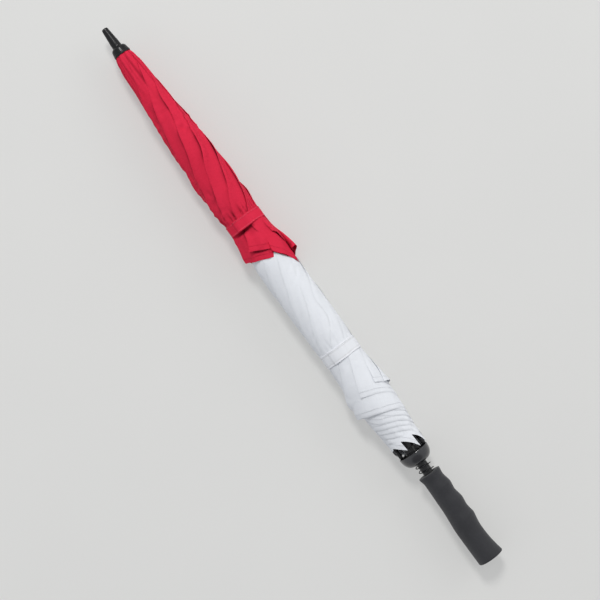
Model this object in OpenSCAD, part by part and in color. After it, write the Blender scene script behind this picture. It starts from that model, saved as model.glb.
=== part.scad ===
// Vented golf umbrella, furled and lying on its side.
// The shaft runs along X with the ferrule at +X. Stations along the shaft are called s:
// millimetres from the crown towards the handle.

/* [Overall] */
// Length from the ferrule's point to the handle's end
total_len = 1000; // [960:1:1040]
// Height of the shaft's axis over the surface the umbrella lies on
axis_height = 31.5; // [31.2:0.1:31.8]
// Length of each rib, from its hinge to the end of its tip
rib_len = 748; // [740:1:750]
// Angle between the shaft and a rib when the canopy is open
open_angle = 65; // [58:1:70]

/* [Shaft and ferrule] */
// Radius of the tubular shaft
shaft_r = 7; // [6:0.5:7]
// Wall of the tubular shaft
shaft_wall = 1; // [0.8:0.1:1.5]
// Length of the ferrule ahead of the crown
ferrule_len = 48; // [40:1:52]
// Radius of the ferrule's collar
collar_r = 13.6; // [13.5:0.1:14]

/* [Frame] */
// Radius of a fibreglass rib
rod_r = 1.75; // [1.4:0.05:1.8]
// Radius of the circle that the rib hinges lie on
pivot_r = 9.3; // [9:0.1:9.4]
// Radius at which the ribs end when furled
furled_tip_r = 22; // [21:0.5:22.5]
// Distance along a rib from its hinge to its stretcher clip
clip_at = 360; // [340:5:365]
// Drop of the stretcher's pin below the rib
clip_drop = 4.7; // [4.5:0.1:5]
// Station of the stretchers' lower eyes when furled
runner_s = 735; // [733:1:737]
// Radius of the circle that the stretchers' lower eyes lie on
runner_pivot_r = 12.2; // [12:0.1:12.4]

/* [Canopy] */
// Station of the upper canopy's hem on its outer folds
upper_hem_s = 378; // [370:1:380]
// Station of the lower canopy's upper edge, tucked under the upper hem
lower_top_s = 364; // [360:1:366]
// Station of the lower canopy's hem on its outer folds
lower_hem_s = 648; // [640:1:655]
// How far the hem of the inner folds hangs below that of the outer ones
lower_hem_step = 72; // [50:1:72]
// Width of a folded gore for each unit of distance from the crown
gore_slope = 0.333; // [0.30:0.01:0.36]
// Width of the two tie bands
band_w = 21; // [18:1:24]
// Stations of the tie bands' middles on the upper and lower canopy
band_at = [320, 563];

/* [Tip cup and handle] */
// Radius of the tip cup's rim
cup_r = 25; // [24:0.5:26]
// Station of the tip cup's rim
cup_s = 751; // [750.5:0.5:753]
// Depth of the tip cup
cup_depth = 20; // [18:0.5:21]
// Radius of the neck that the tip cup slides on
neck_r = 8.2; // [8:0.1:8.4]
// Station of the grip's upper end
grip_s = 792; // [791:1:794]
// Turns of the cup's spring
spring_turns = 2; // [1.75:0.25:4]
// Radius of the spring's coil to the middle of the wire
spring_r = 11.8; // [10.5:0.1:11.8]
// Radius of the spring's wire
wire_r = 0.65; // [0.6:0.05:0.7]

/* [Hidden] */
$fn = 48;
ribs = 8;
rib_step = 360 / ribs;
crown_x = total_len / 2 - ferrule_len;
end_s = total_len - ferrule_len;
clear = 0.2;
eps = 0.01;

// Rib and stretcher linkage, worked out in the plane of one rib as [station, radius].
pivot_s = 2;
rib_tilt = asin((furled_tip_r - pivot_r) / rib_len);
function rib_dir(a) = [cos(a), sin(a)];
function clip_pin(a) = [pivot_s, pivot_r] + clip_at * rib_dir(a) + clip_drop * [sin(a), -cos(a)];
pin_rest = clip_pin(rib_tilt);
pin_open = clip_pin(open_angle);
runner_rest = [runner_s, runner_pivot_r];
stretcher_len = norm(runner_rest - pin_rest);
open_run = sqrt(pow(stretcher_len, 2) - pow(pin_open[1] - runner_pivot_r, 2));
runner_open_s = pin_open[0] + open_run;
runner_travel = runner_s - runner_open_s;
stretcher_rest = atan2(runner_rest[1] - pin_rest[1], runner_rest[0] - pin_rest[0]);
stretcher_open = atan2(runner_pivot_r - pin_open[1], open_run);
echo(runner_travel = runner_travel, rib_swing = open_angle - rib_tilt, rib_tilt = rib_tilt);
echo(stretcher_swing = stretcher_open - open_angle - stretcher_rest + rib_tilt, pin_rest = pin_rest);

eye_r = 2;
eye_t = 2.2;
pin_r = 0.7;
rib_neck = 9;

// Crown and runner
crown_r = 10.7;
crown_top_s = -3;
crown_low_s = 6;
ring_r = 0.6;
sleeve_r = 10;
sleeve_len = 62;
runner_collar_r = 14;
runner_low = 7;
channel_w = 2.9;
channel_r = 9.8;

// Open catch: a leaf in the shaft that stops the runner from coming down
catch_s = runner_open_s + runner_low + 3;
catch_len = 22;
catch_r = 8.9;
catch_w = 2.2;

// Canopy: radius of the furled bundle along the shaft, and how far it flares on the upper side
upper_base = [[-3, 12.5], [5, 13.3], [40, 18.4], [110, 24.6], [186, 30], [250, 30.8], [340, 30.7],
              [378, 31.6]];
upper_flare = [[338, 0], [360, 2.4], [386, 5]];
upper_rings = [-3, 5, 40, 75, 110, 150, 190, 240, 290, 338];
upper_hem_step = 8;
lower_base = [[390, 26.8], [400, 30.4], [440, 31.8], [510, 31.8], [552, 30.7], [575, 30.7], [612, 31.8],
              [655, 31.6], [740, 30]];
lower_flare = [[592, 0], [648, 6.4], [700, 1.6], [720, 0]];
lower_rings = [lower_top_s, 389, 399, 430, 470, 510, 545, 578, 608];
layer_t = [[-3, 0.25], [5, 0.3], [40, 0.5], [80, 0.7], [310, 0.7], [355, 0.5], [395, 0.5], [430, 0.7]];
layer_gap = [[-3, 0.12], [5, 0.2], [40, 0.5], [80, 0.8], [310, 0.8], [355, 0.55], [395, 0.55], [430, 0.8]];
fold_span = 150;
fold_steps = 10;
flare_span = 100;
lie_gap = 0.7;
band_t = 0.9;
band_r = axis_height - band_t + 0.5;
tab_span = 62;
tab_root = 205;

// Colours
red = [0.80, 0.13, 0.22];
white = [0.90, 0.91, 0.94];
black = [0.07, 0.07, 0.08];
graphite = [0.20, 0.20, 0.22];
steel = [0.62, 0.63, 0.65];

// Places its children on the shaft: local Z runs towards the ferrule, local X at angle 0 points down.
module on_shaft() {
    translate([crown_x, 0, axis_height]) rotate([0, 90, 0]) children();
}

// Angle of rib k round the shaft, counted from straight down.
function rib_angle(k) = rib_step * (k - 0.5);

// Places its children in the plane of rib k, with local X radial and local Y round the shaft.
module at_rib(k) {
    on_shaft() rotate([0, 0, rib_angle(k)]) children();
}

// Places its children on a line that starts at [station, radius] and leans outwards by an angle.
// Local Z runs along the line towards the handle, and local X points in towards the shaft.
module on_line(start, lean) {
    translate([start[1], 0, -start[0]]) rotate([0, 180 - lean, 0]) children();
}

// Revolves a profile of [radius, station] points about the shaft.
module revolve(profile) {
    on_shaft() rotate_extrude() polygon([for (p = profile) [p[0], -p[1]]]);
}

// A closed tube about the shaft between two stations.
module tube(r_out, r_in, s_from, s_to) {
    revolve([[r_in, s_from], [r_out, s_from], [r_out, s_to], [r_in, s_to]]);
}

// Joins two grids of points, an outer and an inner one, into a closed slab of triangles.
module slab(outer, inner) {
    rows = len(outer);
    cols = len(outer[0]);
    size = rows * cols;
    points = concat([for (row = outer) each row], [for (row = inner) each row]);
    function at(i, j, side) = side * size + i * cols + j;
    function quad(a, b, c, d) = [[a, b, c], [a, c, d]];
    skin = [for (i = [0:rows - 2], j = [0:cols - 2], side = [0, 1])
        each side == 0
            ? quad(at(i, j, 0), at(i, j + 1, 0), at(i + 1, j + 1, 0), at(i + 1, j, 0))
            : quad(at(i, j, 1), at(i + 1, j, 1), at(i + 1, j + 1, 1), at(i, j + 1, 1))];
    ends = [for (j = [0:cols - 2], i = [0, rows - 1])
        each i == 0
            ? quad(at(0, j, 0), at(0, j, 1), at(0, j + 1, 1), at(0, j + 1, 0))
            : quad(at(i, j, 0), at(i, j + 1, 0), at(i, j + 1, 1), at(i, j, 1))];
    edges = [for (i = [0:rows - 2], j = [0, cols - 1])
        each j == 0
            ? quad(at(i, 0, 0), at(i + 1, 0, 0), at(i + 1, 0, 1), at(i, 0, 1))
            : quad(at(i, j, 0), at(i, j, 1), at(i + 1, j, 1), at(i + 1, j, 0))];
    polyhedron(points, concat(skin, ends, edges), convexity = 10);
}

module shaft() {
    color(graphite) difference() {
        tube(shaft_r, shaft_r - shaft_wall, -12, end_s - 24);
        on_shaft() translate([shaft_r, 0, -catch_s - catch_len / 2])
            cube([2 * shaft_wall + 2, catch_w + 0.8, catch_len + 5], center = true);
    }
}

// Tapered point with a round nose, a flared collar and a cup that covers the canopy's top.
module ferrule() {
    nose_s = -ferrule_len;
    color(black) revolve([
        [0, nose_s], [3.4, nose_s], [4.6, nose_s + 0.8], [5.1, nose_s + 2.4], [7.5, -14.5], [8.2, -13.6],
        [10.6, -12.6], [11.8, -10.5], [12.9, -6], [collar_r, -1], [collar_r, 0.2], [13.1, 0.2],
        [12.8, -3.2], [shaft_r, -3.2], [shaft_r, -12], [0, -12]]);
}

// Notched disc that the ribs hinge in, grooved for the ring that threads their eyes.
module crown() {
    color(black) difference() {
        tube(crown_r, shaft_r, crown_top_s, crown_low_s);
        tube(crown_r + 1, pivot_r - ring_r - clear, pivot_s - ring_r - clear, pivot_s + ring_r + clear);
        for (k = [1:ribs]) at_rib(k) translate([pivot_r - 2.1, -1.35, -crown_low_s - 1])
            cube([crown_r, 2.7, crown_low_s + 1 + 1.4]);
    }
}

module crown_ring() {
    color(steel) on_shaft() translate([0, 0, -pivot_s])
        rotate_extrude() translate([pivot_r, 0]) circle(r = ring_r);
}

// Leaf in the shaft's slot, with its nose towards the crown and a cross pin at its foot.
module open_catch() {
    color(steel) on_shaft() translate([0, 0, -catch_s]) rotate([90, 0, 0]) {
        translate([0, 0, -catch_w / 2]) linear_extrude(catch_w)
            polygon([[4.6, 0], [catch_r - 0.6, 0], [catch_r, -0.8], [6.2, -catch_len], [3.4, -catch_len]]);
        translate([4.6, 1.2 - catch_len, 0]) cylinder(r = pin_r, h = 4.2, center = true);
    }
}

// Sleeve with a collar of open channels for the stretchers and a keyway over the catch.
module runner() {
    low = runner_s + runner_low;
    bore = shaft_r + 0.1;
    color(black) difference() {
        revolve([
            [bore, low - sleeve_len], [sleeve_r - 1, low - sleeve_len], [sleeve_r, low - sleeve_len + 1.5],
            [sleeve_r, runner_s - 9], [runner_collar_r - 1, runner_s - 5.5],
            [runner_collar_r, runner_s - 4.5],
            [runner_collar_r, low - 1.2], [runner_collar_r - 1.2, low], [bore, low]]);
        for (k = [1:ribs]) at_rib(k) translate([channel_r, -channel_w / 2, -low - 1])
            cube([runner_collar_r, channel_w, 24]);
        on_shaft() translate([shaft_r - 1, -catch_w / 2 - 0.4, -low - 1])
            cube([catch_r + 0.3 - shaft_r + 1, catch_w + 0.8, sleeve_len + 2]);
    }
}

// Rib: a straight rod with a flat hinge eye and a clip that carries the stretcher's pin.
module rib(k) {
    color(graphite) at_rib(k) on_line([pivot_s, pivot_r], rib_tilt) {
        translate([0, 0, rib_neck - 1]) cylinder(r = rod_r, h = rib_len - rib_neck + 1 - 3);
        difference() {
            union() {
                translate([-1.2, -eye_t / 2, 0]) cube([2.4, eye_t, rib_neck]);
                rotate([90, 0, 0]) cylinder(r = 1.4, h = eye_t, center = true);
            }
            rotate([90, 0, 0]) cylinder(r = ring_r + clear, h = eye_t + 1, center = true);
        }
        translate([0, 0, clip_at - 7]) cylinder(r = rod_r + 0.9, h = 14);
        for (side = [-1, 1]) translate([0, side * 1.8 - 0.45, clip_at - 3])
            cube([clip_drop + 1.6, 0.9, 6]);
        translate([clip_drop, 0, clip_at]) rotate([90, 0, 0]) cylinder(r = pin_r, h = 4.5, center = true);
    }
}

// Black cap on a rib's end, drawn in to a rounded point, with a cross hole for the hem's stitch.
module rib_tip(k) {
    color(black) at_rib(k) on_line([pivot_s, pivot_r], rib_tilt) difference() {
        translate([0, 0, rib_len - 20]) rotate_extrude()
            polygon([[rod_r, 0], [2.9, 0], [3.2, 1.5], [3.2, 5], [2.6, 6.2], [3, 17], [2.5, 19], [1.3, 20],
                     [0, 20], [0, 17], [rod_r, 17]]);
        translate([0, 0, rib_len - 1.6]) rotate([90, 0, 0]) cylinder(r = 0.5, h = 8, center = true);
    }
}

// Channel-section strut with an eye at each end.
module stretcher(k) {
    color(steel) at_rib(k) on_line(pin_rest, stretcher_rest) difference() {
        union() {
            translate([-1.25, -eye_t / 2, 0]) cube([2.5, eye_t, stretcher_len]);
            for (z = [0, stretcher_len]) translate([0, 0, z])
                rotate([90, 0, 0]) cylinder(r = z == 0 ? eye_r : 1.8, h = eye_t, center = true);
        }
        for (z = [0, stretcher_len]) translate([0, 0, z])
            rotate([90, 0, 0]) cylinder(r = pin_r + 0.1, h = eye_t + 1, center = true);
        translate([0.2, -0.6, 6]) cube([2, 1.2, stretcher_len - 12]);
    }
}

// A furled gore is a flap that winds round the frame: its free fold edge leads, and each of the
// eight flaps dives under the one ahead of it. The flap widens with the distance from the crown,
// so its edge climbs round the bundle. The underside is pressed flat where the umbrella lies.
function wind(s, base) = gore_slope * s / lookup(s, base) * 180 / PI;
function rise(s) = ribs * (lookup(s, layer_t) + lookup(s, layer_gap)) / 360;
function flap_radius(s, p, angle, base, flare) = let (
        inset = p * rise(s),
        lift = lookup(s, flare) * min(1, 1 - cos(angle)) * max(0, 1 - p / flare_span),
        round_r = lookup(s, base) + lift - inset,
        flat_r = cos(angle) > 0.3 ? (axis_height - lie_gap - inset) / cos(angle) : round_r)
    min(round_r, flat_r);

// The rings lie square to the shaft as far as the last of the list, and then slant to the hem.
module flap(k, rings, slants, hem_s, hem_step, base, flare) {
    straight = len(rings);
    grid = [for (skin = [0, 1]) [for (i = [0:straight + slants - 1]) [for (j = [0:fold_steps]) let (
        share = j / fold_steps,
        p = share * fold_span,
        hem = hem_s + hem_step * share,
        last = rings[straight - 1],
        s = i < straight ? rings[i] : last + (hem - last) * (i - straight + 1) / slants,
        angle = rib_angle(k) - wind(s, base) + p,
        r = flap_radius(s, p, angle, base, flare) - skin * lookup(s, layer_t))
        [r * cos(angle), r * sin(angle), -s]]]];
    on_shaft() slab(grid[0], grid[1]);
}

module upper_gore(k) {
    color(red) flap(k, upper_rings, 2, upper_hem_s, upper_hem_step, upper_base, upper_flare);
}

module lower_gore(k) {
    color(white) flap(k, lower_rings, 3, lower_hem_s, lower_hem_step, lower_base, lower_flare);
}

// Tie band round the bundle: most of a turn, with the free tab lying on top of its end. It is
// pressed flat where it lies on the table.
module band(s, paint) {
    r = band_r;
    color(paint) difference() {
        on_shaft() rotate([0, 0, tab_root + 8]) translate([0, 0, -s - band_w / 2])
            rotate_extrude(angle = 348) translate([r, 0]) square([band_t, band_w]);
        translate([crown_x - s - band_w, -20, -5]) cube([2 * band_w, 40, 5]);
    }
}

module tab(s, paint) {
    r = band_r;
    color(paint) on_shaft() rotate([0, 0, tab_root - tab_span]) translate([0, 0, -s - band_w / 2])
        rotate_extrude(angle = tab_span) translate([r + band_t + 0.35, 0]) square([band_t, band_w]);
}

module upper_band() {
    band(band_at[0], red);
}

module upper_tab() {
    tab(band_at[0], red);
}

module lower_band() {
    band(band_at[1], white);
}

module lower_tab() {
    tab(band_at[1], white);
}

// Bell that the rib tips gather on: a domed skirt with a hub that slides on the neck, and a lip at
// the hub's end that the spring bears on.
module tip_cup() {
    low = cup_s + cup_depth;
    hub = 13;
    wall = 1.8;
    lip = 2.4;
    depth = cup_depth - 2 - lip - 0.8;
    function dome(r, drop) = [for (a = [0:10:90]) [hub + (r - hub) * cos(a), cup_s + 2 + drop * sin(a)]];
    outer = dome(cup_r, depth);
    inner = dome(cup_r - wall, depth - wall);
    color(black) revolve(concat(
        [[cup_r - 0.6, cup_s]], outer,
        [[hub - 1, low - lip - 0.8], [hub - 1, low - lip]],
        [[hub, low - lip], [hub, low - 0.5], [hub - 0.5, low]],
        [[neck_r + 0.1, low], [neck_r + 0.1, cup_s + 7], [hub - 1, cup_s + 7]],
        [for (i = [len(inner) - 1:-1:0]) inner[i]], [[cup_r - wall + 0.4, cup_s]]));
}

// Open coil between the cup and the grip: one unbroken wire, its ends turned square to both.
spring_from = cup_s + cup_depth;
spring_lead = 2.2;
curl_rings = 8;
coil_steps = round(spring_turns * curl_rings);
spring_path = concat(
    [[spring_r, 0, -spring_from]],
    [for (i = [0:coil_steps]) let (a = 360 * spring_turns * i / coil_steps)
        [spring_r * cos(a), spring_r * sin(a),
         -spring_from - spring_lead - (grip_s - spring_from - 2 * spring_lead) * i / coil_steps]],
    [[spring_r * cos(360 * spring_turns), spring_r * sin(360 * spring_turns), -grip_s]]);
spring_gap = min([for (i = [0:len(spring_path) - curl_rings], j = [i + curl_rings - 1:len(spring_path) - 1])
    norm(spring_path[i] - spring_path[j])]) - 2 * wire_r;
echo(least_gap_between_spring_turns = spring_gap);

function unit(v) = v / norm(v);
function tangent(path, i) = i == 0 || i == len(path) - 1
    ? [0, 0, -1]
    : unit(unit(path[i + 1] - path[i]) + unit(path[i] - path[i - 1]));

module cup_spring() {
    sides = 6;
    rings = len(spring_path);
    points = [for (i = [0:rings - 1]) let (
        t = tangent(spring_path, i),
        outward = unit([spring_path[i][0], spring_path[i][1], 0]),
        u = unit(outward - (outward * t) * t),
        v = cross(t, u))
        each [for (j = [0:sides - 1])
            spring_path[i] + wire_r * (u * cos(360 * j / sides) + v * sin(360 * j / sides))]];
    walls = [for (i = [0:rings - 2], j = [0:sides - 1]) let (
        a = i * sides + j, b = i * sides + (j + 1) % sides)
        each [[a, a + sides, b + sides], [a, b + sides, b]]];
    color(steel) on_shaft() polyhedron(points, concat(
        walls,
        [for (j = [1:sides - 2]) [0, j, j + 1]],
        [for (j = [1:sides - 2]) let (z = (rings - 1) * sides) [z, z + j + 1, z + j]]), convexity = 10);
}

module neck_sleeve() {
    color(black) tube(neck_r, shaft_r, cup_s + 3, grip_s + 22);
}

module grip_core() {
    color(black) tube(10, shaft_r, grip_s + 22, end_s - 24);
}

// Moulded grip: a straight back, three finger grooves along the front and a flared heel.
// Each section is an ellipse between the back's and the front's distance from the shaft.
grip_back = [[0, 18.2], [8, 16.6], [22, 16.4], [60, 17.2], [94, 20], [160, 20.2]];
groove_at = [12, 43, 74];
function front_r(z) = let (
        waves = z < 90 ? 18.6 + 0.014 * z + 1.3 * cos(360 * (z - 27) / 31) : 0,
        heel = 17.6 + 4.5 * pow((z - 118) / 42, 2))
    z < 6 ? 18.4 - 0.1 * z : z < 90 ? waves : heel;
grip_rings = 40;
grip_sides = 24;

module grip() {
    len_z = end_s - grip_s;
    sections = [for (i = [0:grip_rings]) let (
        z = len_z * i / grip_rings,
        back = lookup(z, grip_back),
        front = front_r(z),
        half_w = (back + front) / 2)
        [for (j = [0:grip_sides - 1]) let (a = 360 * j / grip_sides)
            [half_w * 0.96 * cos(a), (back - front) / 2 + half_w * sin(a), -grip_s - z]]];
    walls = [for (i = [0:grip_rings - 1], j = [0:grip_sides - 1]) let (
        a = i * grip_sides + j, b = i * grip_sides + (j + 1) % grip_sides)
        each [[a, b, b + grip_sides], [a, b + grip_sides, a + grip_sides]]];
    last = grip_rings * grip_sides;
    color(graphite) difference() {
        on_shaft() polyhedron([for (ring = sections) each ring], concat(
            walls,
            [for (j = [1:grip_sides - 2]) [0, j + 1, j]],
            [for (j = [1:grip_sides - 2]) [last, last + j, last + j + 1]]), convexity = 6);
        tube(neck_r, 0, grip_s - 1, grip_s + 22);
        tube(10, 0, grip_s + 22, end_s - 24);
    }
}

shaft();
ferrule();
crown();
crown_ring();
open_catch();
runner();
tip_cup();
cup_spring();
neck_sleeve();
grip_core();
grip();
upper_band();
upper_tab();
lower_band();
lower_tab();
for (k = [1:ribs]) {
    rib(k);
    rib_tip(k);
    stretcher(k);
    upper_gore(k);
    lower_gore(k);
}
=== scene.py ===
"""A furled golf umbrella, lying on a pale table: cloth, straps, grip and fittings round its frame.

Stations s run along the shaft in millimetres from the crown towards the handle, radii r run out from it,
and angles go round it in radians from straight down, the way +Y turns to the top. Ribs and gores are
numbered k, from 1 to 8.
"""

import bpy
import numpy as np
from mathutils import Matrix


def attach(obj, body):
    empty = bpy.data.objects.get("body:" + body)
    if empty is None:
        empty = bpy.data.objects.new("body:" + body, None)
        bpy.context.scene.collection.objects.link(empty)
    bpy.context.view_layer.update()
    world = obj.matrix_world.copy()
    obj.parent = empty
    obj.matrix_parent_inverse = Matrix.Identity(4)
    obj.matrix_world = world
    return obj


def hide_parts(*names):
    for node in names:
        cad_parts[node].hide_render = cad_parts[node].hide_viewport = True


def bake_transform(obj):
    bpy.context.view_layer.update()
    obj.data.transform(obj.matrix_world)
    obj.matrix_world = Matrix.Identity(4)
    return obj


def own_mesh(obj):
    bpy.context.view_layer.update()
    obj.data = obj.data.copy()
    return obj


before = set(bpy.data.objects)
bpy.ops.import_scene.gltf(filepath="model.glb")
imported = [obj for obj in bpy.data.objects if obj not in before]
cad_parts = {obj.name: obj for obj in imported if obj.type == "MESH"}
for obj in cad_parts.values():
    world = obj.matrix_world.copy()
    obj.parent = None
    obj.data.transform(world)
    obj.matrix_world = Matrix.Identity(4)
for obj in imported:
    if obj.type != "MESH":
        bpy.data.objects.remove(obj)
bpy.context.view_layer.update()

TURN = 2 * np.pi
MM = 0.001
CROWN_X, AXIS_Z = 452.0, 31.5
RIBS = 8
HINGE_S, HINGE_R, RIB_LEN, TIP_R = 2.0, 9.3, 748.0, 22.0
RIB_TILT = np.arcsin((TIP_R - HINGE_R) / RIB_LEN)
OPEN_ANGLE = np.radians(65.0)
BUNDLE_R = 30  # a round figure for the bundle, on which waves and maps are laid out


# Shapes

def on_shaft(s, r, angle):
    """Points at station s, radius r and angle round the shaft, in metres of the frame."""
    s, r, angle = np.broadcast_arrays(s, r, angle)
    return np.stack([CROWN_X - s, r * np.sin(angle), AXIS_Z - r * np.cos(angle)], -1) * MM


def curve(x, knots):
    """A smooth line through knots of (x, y): cubic between knots, with slopes from the neighbours."""
    knot_x, knot_y = np.array(knots, float).T
    slope = np.gradient(knot_y, knot_x)
    x = np.clip(x, knot_x[0], knot_x[-1])
    i = np.clip(np.searchsorted(knot_x, x) - 1, 0, len(knot_x) - 2)
    span = knot_x[i + 1] - knot_x[i]
    t = (x - knot_x[i]) / span
    return ((1 + 2 * t) * (1 - t) ** 2 * knot_y[i] + t * (1 - t) ** 2 * span * slope[i]
            + t * t * (3 - 2 * t) * knot_y[i + 1] + t * t * (t - 1) * span * slope[i + 1])


def step(x, low, high):
    """Rises smoothly from 0 at low to 1 at high."""
    t = np.clip((x - low) / (high - low), 0, 1)
    return t * t * (3 - 2 * t)


def bell(x, width):
    """A smooth hump of unit height about 0: the Gauss curve that falls to 1/e one width away."""
    return np.exp(-(x / width) ** 2)


def ripple(x, y, seed, wave):
    """Uneven waves of about unit height: a sum of sines that run near the way of x, with lengths from
    half to twice the given wave."""
    count, spread = 14, 0.6
    pick = np.random.default_rng(seed)
    way = spread * pick.standard_normal(count)
    number = TURN / (wave * 2.0 ** pick.uniform(-1, 1, count))
    phase = pick.uniform(0, TURN, count)
    height = pick.uniform(0.4, 1.0, count) * np.sqrt(2.0 / count)
    x, y = np.broadcast_arrays(x, y)
    turn = (x[..., None] * np.cos(way) + y[..., None] * np.sin(way)) * number + phase
    return (np.sin(turn) * height).sum(-1)


def swell(s, angle, seed, wave, stretch):
    """Uneven waves of about unit height over the bundle, the same each time round: a sum of sines of
    the place on a cylinder. Along the shaft they are longer by the stretch."""
    count = 16
    pick = np.random.default_rng(seed)
    way = pick.standard_normal((count, 3))
    way /= np.linalg.norm(way, axis=1)[:, None]
    way *= (TURN / (wave * 2.0 ** pick.uniform(-0.8, 0.8, count)))[:, None]
    phase = pick.uniform(0, TURN, count)
    height = pick.uniform(0.4, 1.0, count) * np.sqrt(2.0 / count)
    s, angle = np.broadcast_arrays(s, angle)
    place = np.stack([s / stretch, BUNDLE_R * np.cos(angle), BUNDLE_R * np.sin(angle)], -1)
    return (np.sin(place @ way.T + phase) * height).sum(-1)


def end_fans(index, verts):
    """Triangles from each end ring of a wrapped grid to its middle, and the points with both middles
    added."""
    first, last = len(verts), len(verts) + 1
    middles = [verts[index[0, :-1]].mean(0), verts[index[-1, :-1]].mean(0)]
    around = index.shape[1] - 1
    fan_first = np.stack([index[0, 1:], index[0, :-1], np.full(around, first)], -1)
    fan_last = np.stack([index[-1, :-1], index[-1, 1:], np.full(around, last)], -1)
    return np.concatenate([fan_first, fan_last]).tolist(), np.concatenate([verts, middles])


def add_maps(mesh, uv, hollow):
    """Two maps for cloth: its own, in metres, and one that holds how much painted shade it takes in the
    hollows, from 0 to 1."""
    loops = np.empty(len(mesh.loops), np.int32)
    mesh.loops.foreach_get("vertex_index", loops)
    depth = np.zeros(uv.shape[:2]) if hollow is None else hollow
    for title, values in (("cloth", uv), ("hollow", np.stack([depth, depth], -1))):
        layer = mesh.uv_layers.new(name=title)
        layer.data.foreach_set("uv", values.reshape(-1, 2)[loops].astype(np.float32).ravel())


def piece(name, points, uv, body, slot, finish, wrap=False, caps=False, flip=False, hollow=None):
    """A piece from a grid of points: quads between neighbours, closed round the second way if wrapped,
    with a fan at either end if capped."""
    rows, cols = points.shape[:2]
    index = np.arange(rows * cols).reshape(rows, cols)
    if wrap:
        index = np.concatenate([index, index[:, :1]], 1)
    a, b, c, d = index[:-1, :-1], index[:-1, 1:], index[1:, 1:], index[1:, :-1]
    faces = np.stack([a, d, c, b] if flip else [a, b, c, d], -1).reshape(-1, 4).tolist()
    verts = points.reshape(-1, 3)
    if caps:
        fans, verts = end_fans(index, verts)
        faces += fans
    mesh = bpy.data.meshes.new(name)
    mesh.from_pydata(verts.tolist(), [], faces)
    mesh.shade_smooth()
    if uv is not None:
        add_maps(mesh, uv, hollow)
    mesh.materials.append(finish)
    made = bpy.data.objects.new(name, mesh)
    bpy.context.scene.collection.objects.link(made)
    if body is not None:
        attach(made, body)
    return made


def revolve(name, profile, **settings):
    """A profile of (radius, station) points turned about the shaft."""
    sides = 96
    r, s = np.array(profile, float).T
    angle = np.linspace(0, TURN, sides, endpoint=False)
    return piece(name, on_shaft(s[:, None], r[:, None], angle[None, :]), None, wrap=True, **settings)


def eased(corners, cut):
    """A profile with each corner rounded: a quadratic arc that starts and ends one cut from the corner,
    or at the middle of a side shorter than two cuts."""
    points = 5
    outline = np.array(corners, float)
    corner = outline[1:-1, None]
    t = np.linspace(0, 1, points)[None, :, None]

    def towards(neighbour):
        side = neighbour[:, None] - corner
        length = np.maximum(np.linalg.norm(side, axis=-1, keepdims=True), 1e-6)
        return corner + side * np.minimum(0.5, cut / length)

    arcs = (1 - t) ** 2 * towards(outline[:-2]) + 2 * t * (1 - t) * corner + t * t * towards(outline[2:])
    return np.concatenate([outline[:1], arcs.reshape(-1, 2), outline[-1:]])


# Finishes

class Value:
    """A shader socket. Arithmetic on it adds Math nodes to its tree."""

    def __init__(self, nodes, socket):
        self.nodes = nodes
        self.socket = socket

    def _math(self, kind, *values):
        return self.nodes.add("Math", {"operation": kind}, dict(enumerate(values)))

    def __add__(self, other):
        return self._math("ADD", self, other)

    def __radd__(self, other):
        return self._math("ADD", other, self)

    def __sub__(self, other):
        return self._math("SUBTRACT", self, other)

    def __rsub__(self, other):
        return self._math("SUBTRACT", other, self)

    def __mul__(self, other):
        return self._math("MULTIPLY", self, other)

    def __rmul__(self, other):
        return self._math("MULTIPLY", other, self)

    def __truediv__(self, other):
        return self._math("DIVIDE", self, other)

    def __mod__(self, other):
        return self._math("FLOORED_MODULO", self, other)

    def __lt__(self, other):
        return self._math("LESS_THAN", self, other)

    def __abs__(self):
        return self._math("ABSOLUTE", self)

    def sin(self):
        return self._math("SINE", self)

    def clip(self):
        return self.nodes.add("Clamp", {}, {0: self})


class Nodes:
    """The nodes of a material or a world."""

    def __init__(self, tree):
        self.tree = tree

    def feed(self, socket, value):
        """Links a value to a socket, or sets the socket to a plain number or colour."""
        if isinstance(value, Value):
            self.tree.links.new(value.socket, socket)
        elif hasattr(value, "__len__") and len(value) == 3 and socket.type == "RGBA":
            socket.default_value = (*value, 1)
        else:
            socket.default_value = value

    def add(self, kind, settings, sockets, out=0):
        """A node of a kind, with its settings set first and then its sockets' values or links."""
        node = self.tree.nodes.new("ShaderNode" + kind)
        for name, value in settings.items():
            setattr(node, name, value)
        for name, value in sockets.items():
            self.feed(node.inputs[name], value)
        return Value(self, node.outputs[out])

    def split(self, vector):
        """A vector's three parts."""
        node = self.add("SeparateXYZ", {}, {0: vector}).socket.node
        return [Value(self, node.outputs[i]) for i in range(3)]

    def stretch(self, vector, scale):
        """A vector, each way multiplied by its own scale."""
        return self.add("Mapping", {}, {"Vector": vector, "Scale": scale})

    def noise(self, vector, scale, detail, rough=0.55):
        """Cloudy noise from 0 to 1."""
        sockets = {"Vector": vector, "Scale": scale, "Detail": detail, "Roughness": rough}
        return self.add("TexNoise", {}, sockets)

    def mix(self, share, low, high):
        """A colour between two, by a share."""
        return self.add("Mix", {"data_type": "RGBA"}, {0: share, 6: low, 7: high}, 2)

    def band(self, value, low, high):
        """0 below low, 1 above high, smooth between."""
        return self.add("MapRange", {"interpolation_type": "SMOOTHSTEP"}, {0: value, 1: low, 2: high})


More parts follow.
